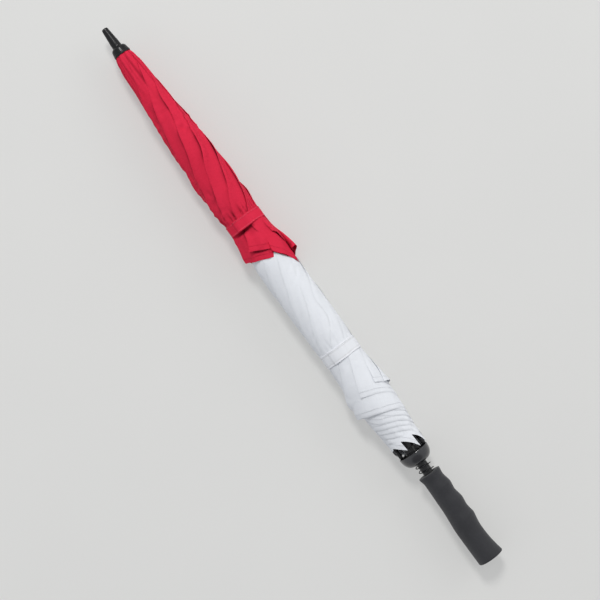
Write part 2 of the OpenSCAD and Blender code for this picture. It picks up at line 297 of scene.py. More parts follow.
class Finish(Nodes):
    """One material and its nodes."""

    def __init__(self, name, **fixed):
        self.material = bpy.data.materials.new(name)
        self.material.use_nodes = True
        super().__init__(self.material.node_tree)
        self.shader = self.tree.nodes["Principled BSDF"]
        self.set(**fixed)

    def set(self, **values):
        """Sets the shader's sockets by name, with spaces for underscores."""
        for name, value in values.items():
            self.feed(self.shader.inputs[name.replace("_", " ")], value)

    def where(self):
        """Object coordinates, in metres."""
        return self.add("TexCoord", {}, {}, "Object")

    def map(self, name):
        """One of a piece's own maps."""
        return self.add("UVMap", {"uv_map": name}, {})

    def bump(self, height, depth, under=None):
        """A bumped normal, from a height of 0 to 1 and its depth in metres."""
        sockets = {"Strength": 1.0, "Distance": depth, "Height": height}
        return self.add("Bump", {}, sockets if under is None else sockets | {"Normal": under})


def plain_weave(u, v):
    """Crossed threads, from 0 to 1: the mean of a sine each way."""
    thread = 0.0009
    return ((u * (TURN / thread)).sin() + (v * (TURN / thread)).sin()) * 0.25 + 0.5


def woven(name, lit, shade, crease_depth, seam_shade, painted_shade_strength):
    """Fine plain-woven cloth: crossed threads, long soft creases and a stitched hem. Its tone runs between a
    lit and a shaded copy of its colour by the noises that raise the creases, which is painted light and
    shade, and it is lighter along the fold edge, a painted highlight. The cloth's own map runs across the
    gore from its fold in u and up from its hem in v, in metres, and a second map paints shade into the
    hollows between folds."""
    hem_seam, stitch_length, fold_highlight_width = 0.0075, 0.0026, 0.0016
    look = Finish(name, Specular_IOR_Level=0.03)
    own = look.map("cloth")
    u, v, _ = look.split(own)
    soft = look.noise(look.where(), 26.0, 4.0)
    crinkle = look.noise(look.stretch(own, (55.0, 260.0, 1.0)), 1.0, 4.0, 0.6)
    long_crease = look.noise(look.stretch(own, (150.0, 22.0, 1.0)), 1.0, 3.0)
    threads = plain_weave(u, v)
    seam = 1 - look.band(abs(v - hem_seam), 0.0001, 0.0005)
    stitch = seam * (((u / stitch_length) % 1.0) < 0.7)
    single = look.band(v, hem_seam - 0.0007, hem_seam + 0.0003)
    # Painted highlight: the tone is lighter along the fold edge.
    fold = 1 - look.band(abs(u), 0.0, fold_highlight_width)
    # Painted light and shade: the tone runs from the shaded copy of the colour to the lit one by the noises
    # that also raise the creases.
    tone = (soft * 0.55 + crinkle * 0.25 + long_crease * 0.3 + fold * 0.2 - seam * seam_shade).clip()
    # Painted shade: the hollow map darkens the colour towards a dark copy of the shaded colour.
    hollow, _, _ = look.split(look.map("hollow"))
    painted_shade_colour = tuple(0.25 * c for c in shade)
    creased = look.bump(crinkle * 0.35 + long_crease * 0.45 + soft * 0.4, crease_depth)
    sewn = look.bump(stitch * 0.9 - single * 0.7 - seam * 0.5, 0.0005, creased)
    look.set(Base_Color=look.mix((hollow * painted_shade_strength).clip(), look.mix(tone, shade, lit), painted_shade_colour),
             Roughness=0.52 + 0.16 * soft + 0.06 * threads, Normal=look.bump(threads, 0.00004, sewn))
    return look.material


def strapping(name, lit, shade, thread):
    """A sewn strap of the canopy's cloth: a stitch line inside each edge and cross pulls. Its tone runs
    between a lit and a shaded copy of its colour by noise, partly the one that raises the pulls, which is
    painted light and shade. Its map runs along the strap in u and across it from the middle in v, in metres."""
    seam_from_middle, stitch_length = 0.0072, 0.0024
    look = Finish(name, Specular_IOR_Level=0.03)
    own = look.map("cloth")
    u, v, _ = look.split(own)
    soft = look.noise(look.where(), 60.0, 4.0)
    pull = look.noise(look.stretch(own, (300.0, 40.0, 1.0)), 1.0, 3.0)
    seam = 1 - look.band(abs(abs(v) - seam_from_middle), 0.0002, 0.0008)
    stitch = seam * (((u / stitch_length) % 1.0) < 0.6)
    # Painted light and shade: the tone runs from the shaded copy to the lit one.
    tone = (soft * 0.6 + pull * 0.5 + 0.05).clip()
    sewn = look.bump(stitch - seam * 0.7 + pull * 0.6, 0.0004)
    look.set(Base_Color=look.mix(stitch * 0.7, look.mix(tone, shade, lit), thread),
             Roughness=0.5 + 0.18 * soft, Normal=look.bump(plain_weave(u, v), 0.00004, sewn))
    return look.material


def moulded(name, low, high, rough, grain, depth, coat=0.0, shine=0.5):
    """Moulded plastic: a faint grain, cloudy gloss and rubbed patches."""
    look = Finish(name, Specular_IOR_Level=shine, Coat_Roughness=0.12, Coat_Weight=coat)
    place = look.where()
    cloud = look.noise(place, 38.0, 3.0)
    fine = look.noise(place, grain, 2.0)
    rubbed = look.band(look.noise(place, 95.0, 5.0, 0.7), 0.55, 0.75)
    look.set(Base_Color=look.mix((cloud * 0.6 + rubbed * 0.5).clip(), low, high),
             Roughness=rough + 0.1 * cloud + 0.1 * rubbed, Normal=look.bump(fine, depth))
    return look.material


def foam(name, low, high):
    """Dense moulded foam rubber: small pores, a dusty bloom and a polish where a hand rubs it."""
    look = Finish(name, Sheen_Weight=0.12, Sheen_Roughness=0.6, Specular_IOR_Level=0.35)
    place = look.where()
    cloud = look.noise(place, 30.0, 4.0)
    grain = look.noise(place, 900.0, 2.0)
    pores = look.band(look.add("TexVoronoi", {}, {"Vector": place, "Scale": 620.0}), 0.12, 0.34)
    bloom = look.band(look.noise(place, 140.0, 5.0, 0.7), 0.5, 0.78)
    # Painted shade: the colour is darker in the pores.
    look.set(Base_Color=look.mix((cloud * 0.5 + bloom * 0.45 + pores * 0.2 - 0.1).clip(), low, high),
             Roughness=0.72 + 0.14 * grain - 0.12 * cloud,
             Normal=look.bump(pores * 0.6 + grain * 0.4, 0.00022))
    return look.material


def drawn_metal(name, low, high, rough):
    """Drawn and plated metal: fine streaks along the shaft and a cloudy polish."""
    look = Finish(name, Metallic=1.0)
    place = look.where()
    streak = look.noise(look.stretch(place, (60.0, 1500.0, 1500.0)), 1.0, 3.0)
    cloud = look.noise(place, 70.0, 3.0)
    look.set(Base_Color=look.mix((streak * 0.6 + cloud * 0.4).clip(), low, high),
             Roughness=rough + 0.16 * cloud, Normal=look.bump(streak, 0.00003))
    return look.material


# Lit and shaded copies of each cloth's colour, which the cloth's tone runs between: painted light and shade.
RED_LIT, RED_SHADE = (0.70, 0.029, 0.072), (0.54, 0.016, 0.041)
red_cloth = woven("red_cloth", RED_LIT, RED_SHADE, crease_depth=0.0016, seam_shade=0.3, painted_shade_strength=0.85)
red_strap = strapping("red_strap", RED_LIT, RED_SHADE, thread=(0.72, 0.10, 0.15))
white_cloth = woven("white_cloth", (0.770, 0.788, 0.822), (0.702, 0.721, 0.760),
                    crease_depth=0.0010, seam_shade=0.14, painted_shade_strength=0.09)
white_strap = strapping("white_strap", (0.772, 0.785, 0.815), (0.713, 0.729, 0.767),
                        thread=(0.70, 0.70, 0.70))
gloss_black = moulded("gloss_black", (0.006, 0.006, 0.007), (0.014, 0.014, 0.015),
                      rough=0.3, grain=700.0, depth=0.000001, coat=0.06, shine=0.22)
satin_black = moulded("satin_black", (0.03, 0.03, 0.032), (0.06, 0.06, 0.064),
                      rough=0.36, grain=900.0, depth=0.00004)
rod_black = moulded("rod_black", (0.012, 0.012, 0.013), (0.035, 0.035, 0.037),
                    rough=0.42, grain=1200.0, depth=0.00004)
cup_black = moulded("cup_black", (0.022, 0.022, 0.0246), (0.041, 0.041, 0.045),
                    rough=0.12, grain=600.0, depth=0.00001, coat=0.5)
neck_black = moulded("neck_black", (0.007, 0.007, 0.008), (0.014, 0.014, 0.0155),
                     rough=0.2, grain=600.0, depth=0.000004, coat=0.15, shine=0.35)
shaft_coat = moulded("shaft_coat", (0.012, 0.012, 0.013), (0.03, 0.03, 0.032),
                     rough=0.3, grain=500.0, depth=0.00002, coat=0.2)
grip_foam = foam("grip_foam", (0.015, 0.0152, 0.0182), (0.034, 0.0345, 0.0395))
wire = drawn_metal("wire", (0.05, 0.05, 0.053), (0.13, 0.13, 0.136), rough=0.3)
dark_wire = drawn_metal("dark_wire", (0.018, 0.018, 0.019), (0.05, 0.05, 0.053), rough=0.3)

CAD_FINISH = {"shaft": shaft_coat, "rib": rod_black, "rib_tip": gloss_black, "stretcher": wire,
              "crown_ring": wire, "open_catch": wire, "neck_sleeve": neck_black}
for node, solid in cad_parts.items():
    kind = node.rstrip("0123456789").rstrip("_")
    solid.data.materials.clear()
    solid.data.materials.append(CAD_FINISH.get(kind, satin_black))


# Canopy

# A tier's values, in millimetres unless said otherwise. Lists of eight have one value for each gore.
# radius: the bundle's profile, as knots of station and radius
# top, hem, inner_hem: stations of a gore's start, and of its hem where it lies outermost and innermost
# swap: distances from the fold between which the one hem passes into the other
# bow: how much farther the hem hangs on the underside
# wind, wind_r: half a gore's width over its station, and the radius it winds on if not the profile's
# strap, strap_half: the strap's station and half its width
# flare_from: the station from which the cloth is free of the strap
# seed: where the random draws start
# crumple, relief: shares of the full height of creases, and of folds
# roll: width of a fold's roll
# press: share of a free edge's lift that the inner ply takes
# gape: gore, station, length and height of one fold that stands open
# dent: middle and half width in degrees, and depth, of the slack hollow beside the strap, which also takes
# painted shade where the depth is above 0
# tuck: 1 where the hem closes on the ply beneath and crumples by the rib tips, or 0
# least: knots of station and least radius, clear of the frame beneath
# steps: points across a gore's outer ply, which has twice as many as its inner ply
# drop, slant: how much longer a hem is, and its slope away from the fold; inner_slant is the inner hem's
# corner: how much longer the hem is at its rib
# mouth: how much longer the inner ply is, where the hem gapes; a gape above 0 also takes painted shade
# flare, billow: how far the hem's corner at the fold, and the cloth beside it, stand off
# shift: degrees by which that corner is moved round
# finish, strap_finish, slot: materials of the cloth and of the strap, and the slot of both
RED = {
    "radius": [(-3, 11.8), (1, 12.9), (4, 14.2), (19, 16.7), (38, 18.5), (74, 20.9), (111, 23.8), (148, 27.0),
               (190, 29.2), (230, 29.7), (290, 29.7), (308, 29.5), (320, 29.4), (332, 29.7), (345, 30.8),
               (372, 32.0), (400, 32.4)],
    "top": -3.0, "hem": 366.0, "inner_hem": 360.0, "swap": (58.0, 90.0), "bow": 0.0,
    "wind": 0.37, "wind_r": None, "strap": 317.2, "strap_half": 8.7, "flare_from": 332.0,
    "seed": 11, "crumple": 1.0, "relief": 1.0, "roll": 2.8, "press": 0.15,
    "gape": (8, 207.0, 20.0, 2.6), "dent": (157, 46, 8.0), "tuck": 0.0,
    "least": [(-3, 11.0), (100, 11.0)], "steps": 52,
    "drop": [-6, 11.5, -13, 24, -2, -4, -4, 3],
    "slant": [0.43, 0.7, 1.2, 0.5, 0.2, 0.1, 0.15, 0.31], "inner_slant": 0.0,
    "corner": [0, 0, 0, 0, 0, 0, 0, 0],
    "mouth": [9, 0, 0, 6, 0, 0, 0, 0],
    "flare": [7.0, 4.0, 3.0, 10.0, 3.0, 1.0, 2.0, 3.0],
    "billow": [0, 0, 0, 0, 0, 0, 0, 0],
    "shift": [4, 8, -6, -6, 0, 0, 0, 3],
    "finish": red_cloth, "strap_finish": red_strap, "slot": "red_cloth"}
WHITE = {
    "radius": [(360, 27.2), (372, 28.8), (382, 30.4), (392, 31.3), (404, 31.5), (430, 31.5), (480, 31.6),
               (530, 31.2), (550, 30.4), (563, 29.9), (576, 30.3), (604, 31.6), (640, 33.0), (662, 33.4),
               (690, 33.6), (716, 33.4), (748, 33.0)],
    "top": 364.0, "hem": 633.0, "inner_hem": 655.0, "swap": (70.0, 130.0), "bow": 6.2,
    "wind": 0.388, "wind_r": 31.0, "strap": 562.6, "strap_half": 10.8, "flare_from": 588.0,
    "seed": 29, "crumple": 0.28, "relief": 0.3, "roll": 8.0, "press": 0.55,
    "gape": (0, 0.0, 1.0, 0.0), "dent": (157, 44, 0.0), "tuck": 1.0,
    "least": [(690, 23.6), (712, 24.4), (724, 26.2), (750, 26.3)], "steps": 88,
    "drop": [4, 8, 10, 15, 29, 9.6, 1.7, 7.0],
    "slant": [0.3, 0.3, 0.3, 0.3, 0.3, 0.3, 0.3, 0.08], "inner_slant": 0.3,
    "corner": [4, 4, -5, -6, 7, 11, 9, 4],
    "mouth": [0, 0, 0, 0, 0, 0, 0, 0],
    "flare": [3.0, 2.0, 2.0, 6.0, 6.0, 2.4, 1.8, 1.8],
    "billow": [0, 0, 0, 0, 0, 0, 0, 3.6],
    "shift": [0, 0, 0, 26, 0, 0, 4, -2],
    "finish": white_cloth, "strap_finish": white_strap, "slot": "white_cloth"}
PITCH = 6.5 / TURN  # how far a layer sinks in one radian of winding
LAYER = PITCH * TURN / RIBS  # how far it sinks from one rib to the next
CRISP_ROLL = 4.0  # a narrower roll is crisp along the whole fold
FLAT_FROM = 0.3  # cosine of the angle from straight down, above which cloth lies flat on the table


def rib_angle(k):
    """Angle of a rib round the shaft: half a step past straight down, then a step for each."""
    return TURN / RIBS * (k - 0.5)


def gore_seed(k, tier):
    """Where one gore's random draws start."""
    return tier["seed"] * 7 + k


def wind(s, tier):
    """How far the fold edges have wound round the bundle at a station: the gore's half width over the
    radius."""
    radius = curve(s, tier["radius"]) if tier["wind_r"] is None else tier["wind_r"]
    return tier["wind"] * np.maximum(s, 0) / radius


def fold_edge(k, s, tier):
    """Angle of a gore's free fold edge, wound back from its rib, and how far it strays from that: by uneven
    waves that grow from the top on, and by the corner's shift near the hem."""
    waves = ripple(s, 0 * s, gore_seed(k, tier) + 9, 110.0) * step(s - tier["top"], 30.0, 110.0)
    moved = np.radians(tier["shift"][k - 1]) * step(s, tier["flare_from"] - 60.0, tier["hem"])
    return rib_angle(k) - wind(s, tier), np.radians(5.0) * waves + moved


def gathers(s, angle, tier):
    """Narrow grooves, from 0 to 1, that run into the strap on the crown's side: sharp troughs of an uneven
    sine round the shaft, within a hump beside the strap."""
    before = s - tier["strap"] + tier["strap_half"]
    near = bell(before + 5.0, 11.0) * step(-before, -2.0, 3.0)
    turn = 12 * angle + 1.2 * np.sin(3 * angle + 1.0) + 0.7 * np.sin(7 * angle)
    groove = (1 - np.abs(np.sin(turn))) ** 1.6
    return tier["relief"] * near * groove * (0.65 + 0.35 * np.sin(4 * angle + 2.0))


def pleats(s, angle):
    """Pleats of unit height that spread from the crown: a sine round the shaft, uneven in height and
    width."""
    turn = 14 * angle + 0.9 * np.sin(3 * angle)
    return np.sin(turn) * np.sin(5 * angle + 0.7) * bell(s - 24.0, 36.0)


def loose(s, angle, tier):
    """The slack hollow beside the strap, from 0 to 1, on the handle's side: a hump along and an arch
    across."""
    middle, half_width, _ = tier["dent"]
    off = (np.degrees(angle) - middle + 180.0) % 360.0 - 180.0
    beside = s - tier["strap"] - tier["strap_half"] - 2.6
    return bell(beside, 3.2) * np.clip(1 - (off / half_width) ** 2, 0, 1)


def bundle(s, angle, tier):
    """Radius of the furled bundle, in which all layers share: its profile, a flatter face between each two
    fold edges, bulges, sharp pulled creases (a level less the size of a wave), crumpled corners by the rib
    tips, pleats that spread from the crown, gathers at the strap and the slack hollow beside it."""
    seed = tier["seed"]
    on_fold = angle + wind(s, tier)
    tight = bell(s - tier["strap"], 12.0)
    grown = step(s, 30.0, 130.0)
    face = 1.0 * tier["relief"] * grown * np.cos(RIBS * on_fold - np.pi)
    soft = 0.35 * tier["relief"] * swell(s, angle, seed, 62.0, 1.5)
    pulled = 0.5 - np.abs(swell(s, on_fold, seed + 2, 30.0, 2.6))
    cross = 0.5 - np.abs(swell(s, on_fold, seed + 4, 20.0, 0.9))
    where = step(swell(s, angle, seed + 6, 90.0, 1.4) + 0.9 * np.sin(angle), -0.3, 0.9)
    smooth = 1 - 0.75 * step(s, tier["flare_from"], tier["flare_from"] + 18.0)
    crumple = tier["crumple"] * (0.6 * pulled + 1.3 * cross * where) * smooth
    crushed = 0.4 - np.abs(swell(s, angle, seed + 8, 22.0, 1.6))
    corners = 0.8 * tier["tuck"] * step(s, RIB_LEN - 62.0, RIB_LEN - 32.0) * crushed
    dent = tier["dent"][2] * loose(s, angle, tier)
    return (curve(s, tier["radius"]) + corners + face + grown * (soft + crumple) * (1 - 0.8 * tight)
            + 1.3 * pleats(s, angle) - 3.6 * gathers(s, angle, tier) - dent)


def laid(r, angle, limit):
    """A radius kept within a depth below the axis, where the cloth faces the table."""
    down = np.cos(angle)
    return np.where(down > FLAT_FROM, np.minimum(r, limit / np.maximum(down, FLAT_FROM)), r)


def from_fold(share, full, count):
    """Distances from the fold to the full half width. The first points grow by a power up to the near
    width, so they crowd at the fold; the others are even."""
    near_points, near_width, crowding = 26.0, 27.0, 1.25
    knee = near_points / count
    near = np.minimum(full, near_width)
    past = np.maximum((share - knee) / (1 - knee), 0)
    return near * np.minimum(share / knee, 1) ** crowding + (full - near) * past


def hem_line(k, s, across, full, side, tier):
    """Station of a gore's hem at each distance from the fold: the outer hem, slanting away from the fold,
    passes into the inner one, and both hang lower beneath, reach out at the rib's corner and wave a little.
    Where the hem gapes, the inner ply is longer."""
    place = rib_angle(k) - wind(s, tier) + across / curve(s, tier["radius"])
    below = np.cos(place)
    swap = step(across, *tier["swap"])
    outer = tier["hem"] + tier["drop"][k - 1] + tier["slant"][k - 1] * np.minimum(across, tier["swap"][1])
    inner = tier["inner_hem"] + tier["inner_slant"] * across
    corner_width = 24.0
    corner = tier["corner"][k - 1] * np.clip((across - full) / corner_width + 1, 0, 1) ** 1.4
    sag = 2.6 * swap * step(below, 0.0, 1.0) * step(across, full - 60.0, full)
    mouth = tier["mouth"][k - 1] * (1 - np.exp(-across / 2.5)) * np.exp(-across / 60.0)
    hem = outer + (inner - outer) * swap + tier["bow"] * (below + sag) + corner
    return hem + 0.35 * ripple(across, 0 * across, gore_seed(k, tier), 40.0) + np.where(side < 0, mouth, 0)


def painted_shade_amount(k, s, angle, gap, mouth_shade, tier):
    """How much painted shade each point takes, from 0 to 1: beside the next gore's fold, in lengths that come
    and go along it, in the gathers, in the slack by the strap, under the hem's mouth and between the pleats."""
    free = tier["flare_from"]
    fold_shadow_strength = np.clip(0.45 + 0.9 * ripple(s, 0 * s, gore_seed(k, tier) + 21, 80.0), 0, 1)
    fold_shadow_strength = fold_shadow_strength * step(s, 10.0, 60.0) * (1 - step(s, free + 6.0, free + 24.0))
    slack = (tier["dent"][2] > 0) * loose(s, angle, tier)
    between = np.maximum(-pleats(s, angle), 0)
    fold_shadow = fold_shadow_strength * np.exp(-np.abs(gap) / 2.4)
    return np.clip(fold_shadow + gathers(s, angle, tier) + slack + 0.8 * mouth_shade + 0.6 * between, 0, 1)


def fold_lip(k, s, tier):
    """Height of a fold's lip, which comes and goes along it, with one fold that stands open."""
    waves = ripple(s, 0 * s, gore_seed(k, tier) + 1, 100.0)
    lip = tier["relief"] * np.clip(1.1 + 1.2 * waves, 0, 2.8) * step(s, 20.0, 110.0)
    gore, station, length, height = tier["gape"]
    return lip + height * bell(s - station, length) if k == gore else lip


def fold_roll(s, across, tier):
    """How far the cloth has come up from its fold, from 0 to 1: a quarter circle where the fold is crisp,
    and a smooth step where it is soft."""
    near = np.minimum(across / tier["roll"], 1)
    free = tier["flare_from"]
    crisp = step(s, free, free + 40.0) if tier["roll"] > CRISP_ROLL else 1.0
    return crisp * np.sqrt(1 - (1 - near) ** 2) + (1 - crisp) * near * near * (3 - 2 * near)


def free_lift(k, s, across, angle, tier):
    """How far the cloth past the strap stands off: most at the fold, with a billow beside it, uneven along,
    and less beneath, where the table holds it."""
    free = step(s, tier["flare_from"], tier["hem"] + tier["drop"][k - 1] + 4.0) ** 1.2
    off = tier["flare"][k - 1] * np.exp(-across / 30.0) + tier["billow"][k - 1] * bell(across - 18.0, 14.0)
    uneven = 1 + 0.3 * ripple(s, 0 * s + 40.0 * k, gore_seed(k, tier) + 5, 70.0)
    return free * off * uneven * np.minimum(1, 1.05 - np.cos(angle))


def flap(k, tier, name, node):
    """One gore, folded down its middle and wound round the bundle. Across, it runs from the rib out to
    the free fold edge and back beneath; along, from the top to the hem. Each point keeps its distance from
    the fold, so the cloth has the width that it was cut to. Layers sink by one pitch a turn. At the fold the
    cloth rolls up from the layer beneath with a lip on it, past the strap it stands off, and the underside
    lies flat."""
    count = tier["steps"]
    share = np.linspace(0, 1, count)
    share = np.concatenate([share[::-1], share[1::2]])[:, None]
    side = np.concatenate([np.ones(count), -np.ones(count // 2)])[:, None]
    dense_from, rows, dense_rows = 0.86, 110, 46
    along = np.concatenate([np.linspace(0, dense_from, rows, endpoint=False),
                            np.linspace(dense_from, 1, dense_rows)])[None, :]
    s = tier["top"] + (tier["hem"] - tier["top"]) * along
    for _ in range(3):  # the hem depends on the stations, and the stations on the hem
        full = np.maximum(tier["wind"] * np.maximum(s, 0.0), 16.0)
        across = from_fold(share, full, count)
        hem = hem_line(k, s, across, full, side, tier)
        s = tier["top"] + (hem - tier["top"]) * along
    mean_r = curve(s, tier["radius"])
    wound = across / mean_r
    edge, sway = fold_edge(k, s, tier)
    angle = edge + wound + sway * np.exp(-across / 40.0)
    next_sway = fold_edge(k % RIBS + 1, s, tier)[1]
    gap = (edge + TURN / RIBS + next_sway - angle) * mean_r
    # Painted shade goes under the hem's mouth on the inner ply, and beside the next gore's fold by the gap.
    mouth_shade = (tier["mouth"][k - 1] > 0) * (side < 0) * step(hem - s, 2.0, 4.5)

    fold_depth, outer_rise, inner_rise, lip_width = 0.74, 0.97, 0.24, 24.0
    roll = fold_roll(s, across, tier)
    tight = bell(s - tier["strap"], 13.0)
    stand = fold_lip(k, s, tier) * np.clip(1 - across / lip_width, 0, 1) ** 1.2 * (1 - tight)
    closed = tier["tuck"] * bell(hem - s, 1.1) * step(across, 5.0, 16.0)
    outer = stand + LAYER * (outer_rise * roll - fold_depth - 0.8 * closed)
    inner = 0.8 * stand + LAYER * (inner_rise * roll - fold_depth)
    lift = free_lift(k, s, across, angle, tier)
    spread = np.where(side > 0, outer + lift, inner + tier["press"] * lift)
    r = np.maximum(bundle(s, angle, tier) - PITCH * wound + spread, curve(s, tier["least"]))
    over_table = 0.5
    ply = np.where(side > 0, LAYER * (outer_rise - fold_depth) * roll, inner)
    depth = AXIS_Z - over_table - PITCH * wound + ply
    points = on_shaft(s, laid(r, angle, depth), angle)
    uv = np.stack(np.broadcast_arrays(side * across, hem - s), -1) * MM
    made = piece(name, points, uv, "shaft", tier["slot"], tier["finish"],
                 hollow=painted_shade_amount(k, s, angle, gap, mouth_shade, tier))
    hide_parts(node)
    on_shaft(30.0, 0.0, 0.0)
    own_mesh(made)
    return made


def rib_point(along, out):
    """In the plane of a rib: station and radius of a point some way along it and out from it."""
    run, rise = np.cos(RIB_TILT), np.sin(RIB_TILT)
    return HINGE_S + along * run - out * rise, HINGE_R + along * rise + out * run


def spread_gore(k, tier_name, tier, top, hem, dip, lift):
    """The same gore for the open canopy, built as the narrow gathered strip that it is furled on its rib.
    Places across the strip undo a smooth step, so that after one the shares are even. Rows lie at the reach
    of straight chords between the ribs, the hem bows in by the dip, and the map is laid out for the gore's
    full width. The cloth lies close over the rib at the crown, higher past it, and higher still over the
    rib's tip."""
    strip = 2.4
    half = np.arccos(np.cos(OPEN_ANGLE) ** 2 + np.sin(OPEN_ANGLE) ** 2 * np.cos(TURN / RIBS)) / 2
    across = np.linspace(0, 1, 33)[:, None]
    along = np.linspace(0, 1, 49)[None, :]
    apex = HINGE_R / np.sin(OPEN_ANGLE)
    chord = np.cos(half) / np.cos(half * (2 * across - 1))
    bow = 1 - dip * (1 - (2 * across - 1) ** 2)
    start_reach, hem_reach = (top + apex) * chord, (hem + apex) * chord * bow
    reach = start_reach + (hem_reach - start_reach) * along
    from_hinge = reach - apex
    at_crown, past_crown, at_tip = 1.6, 1.3, 0.7
    over_rib = (at_crown + (past_crown + lift) * step(from_hinge, 6.0, 40.0)
                + at_tip * step(from_hinge, RIB_LEN - 40.0, RIB_LEN - 21.0))
    s, r = rib_point(from_hinge, over_rib)
    sunk = 0.35 * np.sin(np.pi * across)
    share = 0.5 - np.sin(np.arcsin(1 - 2 * across) / 3)
    tangent = np.array([0, np.cos(rib_angle(k)), np.sin(rib_angle(k))])
    points = on_shaft(s, r - sunk, rib_angle(k)) - tangent * (strip * MM) * share[..., None]
    uv = np.stack(np.broadcast_arrays((across - 0.5) * 2 * half * reach, hem_reach - reach), -1) * MM
    made = piece(f"spread_{tier_name}_{k}", points, uv, None, tier["slot"], tier["finish"])
    start = on_shaft(0.0, 0.0, 0.0)
    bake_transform(made)
    return made


for k in range(1, RIBS + 1):
    upper = flap(k, RED, f"upper_flap_{k}", f"upper_gore_{k}")
    lower = flap(k, WHITE, f"lower_flap_{k}", f"lower_gore_{k}")
    upper_spread = spread_gore(k, "upper", RED, top=2.0, hem=392.0, dip=0.035, lift=1.2)
    lower_spread = spread_gore(k, "lower", WHITE, top=352.0, hem=741.0, dip=0.05, lift=0.0)


# Straps

BAND_FROM, BAND_TO = 190, 562  # degrees round the shaft, as are the tab's
TAB_FROM, TAB_TO, TAB_ROOT = 146, 205.5, 206


def strap(name, node, tier, low, high, lift, body):
    """A sewn strap round the bundle, from one angle to another in degrees: its cross-section has piped
    edges, and it follows the bundle with a little slack and lies flat beneath. A tab rises from its root
    by the lift, over the band."""
    half = tier["strap_half"]
    edge = np.array([(0.0, -0.3), (-0.35, 0.25), (0.0, 0.85), (0.9, 1.0), (1.8, 0.62), (4.0, 0.7)])
    width = np.concatenate([edge[:, 0] - half, [0.0], half - edge[::-1, 0]])[None, :]
    height = np.concatenate([edge[:, 1], [0.78], edge[::-1, 1]])[None, :]
    low, high = np.radians(low), np.radians(high)
    angle = np.linspace(low, high, max(8, int(np.degrees(high - low) / 2)))[:, None]
    wander = 0.5 * ripple(BUNDLE_R * angle, 0 * angle, tier["seed"] + 50, 70.0)
    s = tier["strap"] + width + wander
    off_cloth = 0.3
    from_root = np.radians(TAB_ROOT) - angle
    rise = (lift + off_cloth) * step(from_root, 0.0, 0.45) - off_cloth if lift else 0.0
    slack = off_cloth + rise + 0.12 * ripple(BUNDLE_R * angle, width, 77, 22.0)
    r = bundle(0 * angle + tier["strap"], angle, tier) + slack + height
    uv = np.stack(np.broadcast_arrays(BUNDLE_R * angle, width), -1) * MM
    points = on_shaft(s, laid(r, angle, AXIS_Z - 1.15 + height), angle)
    made = piece(name, points, uv, body, tier["slot"], tier["strap_finish"])
    solid = made.modifiers.new("thickness", "SOLIDIFY")
    solid.thickness = 0.5 * MM
    solid.offset = -1.0
    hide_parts(node)
    flat_s, flat_r = rib_point(tier["strap"], 5.3 + 2 * lift)
    tuple(on_shaft(flat_s, flat_r, rib_angle(1)))
    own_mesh(made)
    return made


for tier_name, tier in (("upper", RED), ("lower", WHITE)):
    tab_body = f"{tier_name}_tab"
    band = strap(f"{tier_name}_strap", f"{tier_name}_band", tier, BAND_FROM, BAND_TO, lift=0.0, body="gore_1")
    tab = strap(f"{tier_name}_strap_tab", tab_body, tier, TAB_FROM, TAB_TO, lift=1.0, body=tab_body)
    flat_width = 2.3 * (tier["strap_half"] * MM)


# Fittings

ferrule_profile = [(0.02, -48.0), (3.5, -48.0), (4.9, -47.2), (5.3, -44.5), (7.45, -20.0), (7.6, -15.2),
                   (8.0, -13.4), (10.6, -12.4), (12.3, -10.2), (13.0, -6.0), (13.5, -3.4), (13.6, -3.0),
                   (13.85, -2.6), (13.9, 0.7), (13.4, 0.7), (13.2, -3.2), (7.2, -3.4)]
ferrule = revolve("ferrule_point", eased(ferrule_profile, 0.7), body="shaft", slot="black_gloss",
                  finish=gloss_black)
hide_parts("ferrule")


def ellipse(r, s, wide, painted_shade_colour, degrees):
    """Part of an ellipse about a radius and station, as points of a profile: its half width times the
    cosine, and its depth times the sine, of each angle."""
    angle = np.radians(degrees)
    return np.stack([r + wide * np.cos(angle), s + painted_shade_colour * np.sin(angle)], -1)


CUP_S, CUP_R = 753, 12.4
dome = ellipse(CUP_R, CUP_S, 12.6, 18, np.arange(0, 91, 6))
under = ellipse(CUP_R, CUP_S, 10.8, 16.2, np.arange(90, -1, -6))
cup_lip = [(23.6, 752.2), (23.9, 751.0), (24.7, 751.0), (25.15, 751.6), (25.0, 752.6)]
cup_hub = [(11.6, 771.0), (11.3, 770.2), (9.6, 770.2), (8.3, 770.6), (8.3, 758.0), (11.4, 758.0),
           (11.6, 768.0)]
cup_profile = np.concatenate([cup_lip, dome, cup_hub, under, cup_lip[:1]])
tip_bell = revolve("tip_bell", eased(cup_profile, 0.4), body="tip_cup", slot="black_satin", finish=cup_black,
                   flip=True)
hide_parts("tip_cup")


